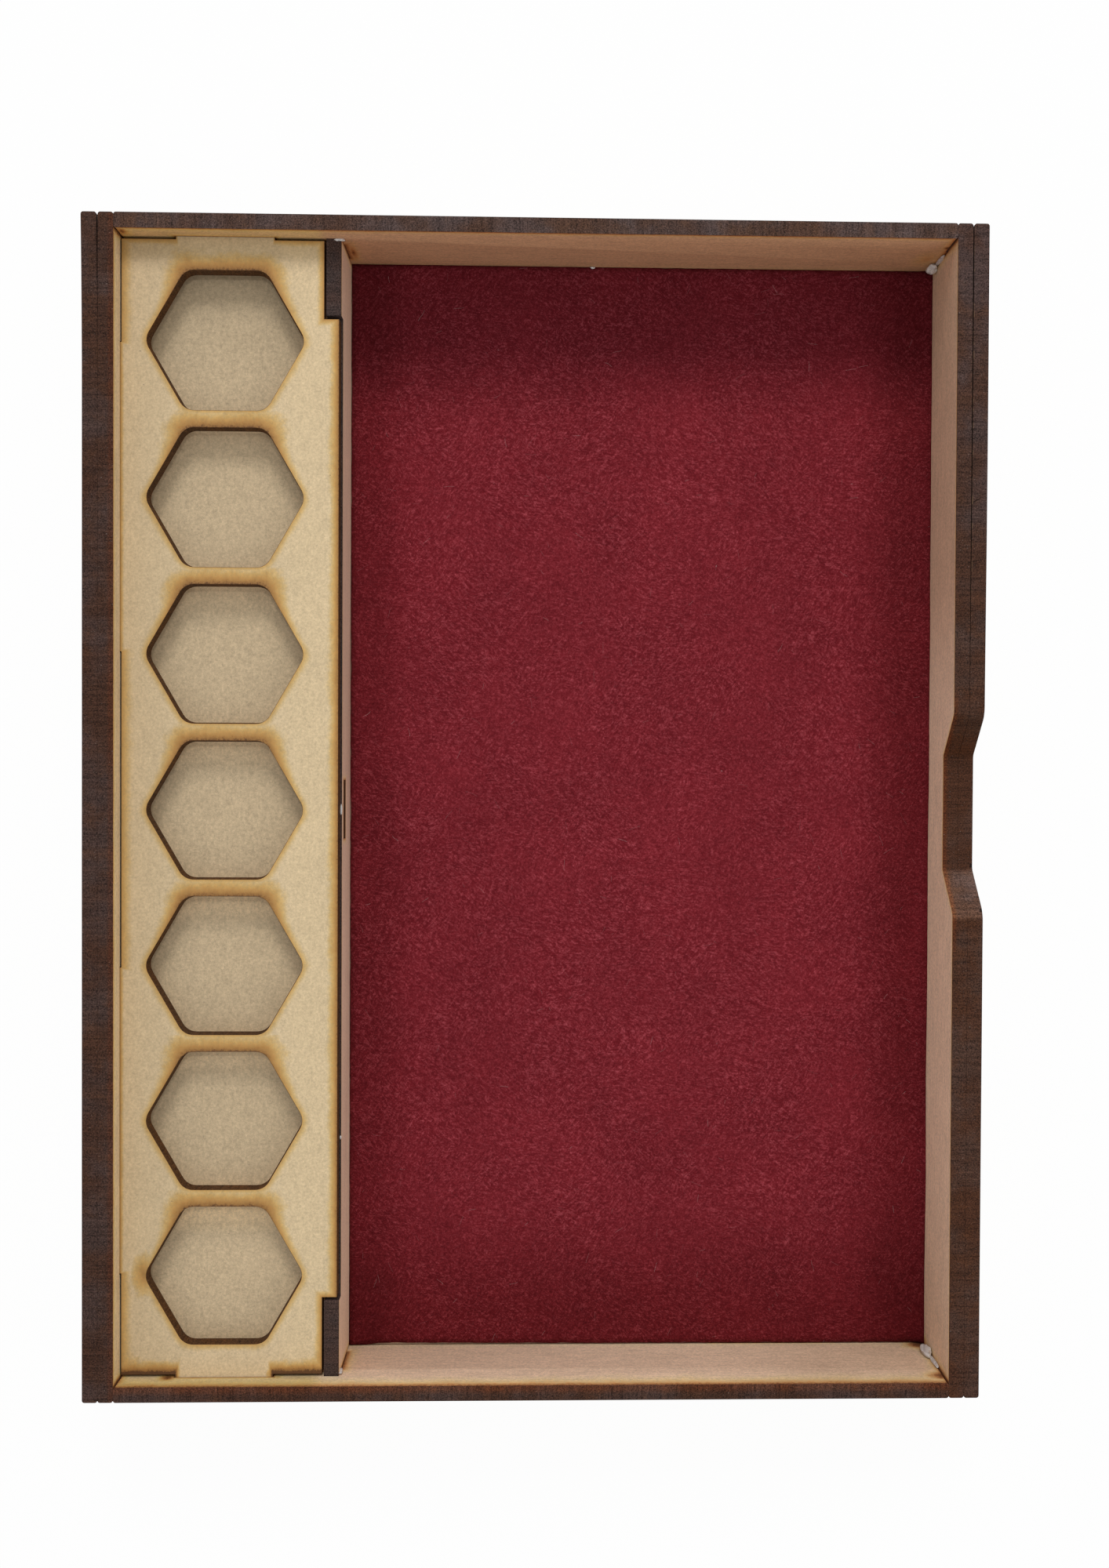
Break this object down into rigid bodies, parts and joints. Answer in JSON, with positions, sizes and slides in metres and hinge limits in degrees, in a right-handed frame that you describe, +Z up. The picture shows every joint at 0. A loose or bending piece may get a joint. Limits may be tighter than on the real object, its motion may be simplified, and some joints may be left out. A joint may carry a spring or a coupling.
{
  "type": "dice storage box",
  "caption": "Open box of sheet-cut fibreboard: a strip with a row of hexagonal dice wells beside a felt-floored rolling tray with a finger notch in its side.",
  "frame": {"origin": "middle of the underside of the box, on the surface it stands on", "axes": "+X across the box from the strip of wells towards the tray, +Y along the box, +Z up"},
  "size_m": [0.177, 0.232, 0.027],
  "materials": {
    "fibreboard": "natural fibreboard with charred cut edges",
    "felt": "burgundy felt"
  },
  "bodies": {
    "root": {"base_panel": "fibreboard", "front_wall": "fibreboard", "back_wall": "fibreboard", "left_inner_wall": "fibreboard", "left_outer_wall": "fibreboard", "right_inner_wall": "fibreboard", "right_outer_wall": "fibreboard", "divider": "fibreboard", "well_floor": "fibreboard", "hex_plate": "fibreboard", "felt_lining": "felt"}
  },
  "joints": []
}
